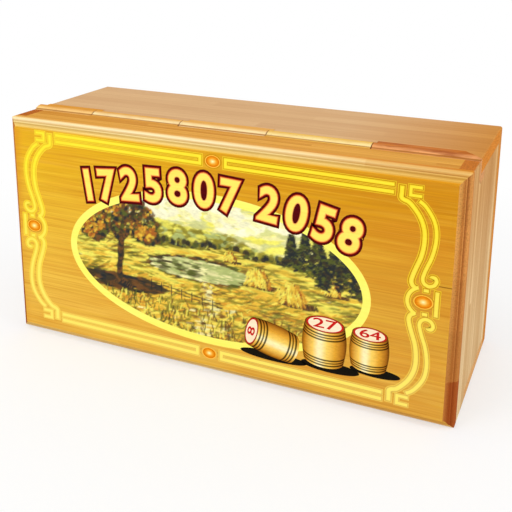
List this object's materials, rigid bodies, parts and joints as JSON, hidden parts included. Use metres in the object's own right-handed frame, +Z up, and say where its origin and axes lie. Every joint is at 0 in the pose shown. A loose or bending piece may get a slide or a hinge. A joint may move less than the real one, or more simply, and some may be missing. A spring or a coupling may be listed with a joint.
{
  "type": "lotto game box",
  "caption": "Hinged bamboo lotto box with a moulded printed lid, wooden knuckle hinge, turned kegs, cards, counters and a cloth bag.",
  "frame": {"origin": "middle of the footprint, on the surface that the box stands on, on its long front wall", "axes": "+Z up, X along the hinge, -Y out of the lid's printed face"},
  "size_m": [0.25, 0.098, 0.1275],
  "materials": {
    "bamboo": "clear gloss lacquer on laminated bamboo",
    "lid_face": "printed and lacquered bamboo board",
    "knuckle_wood": "lacquered bamboo",
    "pin_steel": "drawn wire",
    "keg_wood": "turned, unvarnished",
    "card": "printed card",
    "counter_plastic": "glossy",
    "bag_cloth": "unbleached cotton"
  },
  "bodies": {
    "box": {"base_panel": "bamboo", "front_wall": "bamboo", "hinge_wall": "bamboo", "left_wall": "bamboo", "right_wall": "bamboo", "divider": "bamboo", "box_knuckle_left": "knuckle_wood", "box_knuckle_middle": "knuckle_wood", "box_knuckle_right": "knuckle_wood", "hinge_pin": "pin_steel", "kegs_column_1": "keg_wood", "kegs_column_2": "keg_wood", "kegs_column_3": "keg_wood", "kegs_column_4": "keg_wood", "kegs_column_5": "keg_wood", "kegs_column_6": "keg_wood", "kegs_column_7": "keg_wood", "kegs_column_8": "keg_wood", "kegs_column_9": "keg_wood", "lotto_cards": "card", "counters": "counter_plastic", "keg_bag": "bag_cloth"},
    "lid": {"lid_panel": "lid_face", "lid_hinge_rail": "bamboo", "lid_front_rail": "bamboo", "lid_left_rail": "bamboo", "lid_right_rail": "bamboo", "lid_knuckle_left": "knuckle_wood", "lid_knuckle_right": "knuckle_wood"}
  },
  "joints": [
    {"name": "lid_hinge", "type": "hinge", "parent": "box", "child": "lid", "pos_m": [0, -0.0195, 0.121], "axis": [-1, 0, 0], "range_deg": [0, 95]}
  ]
}
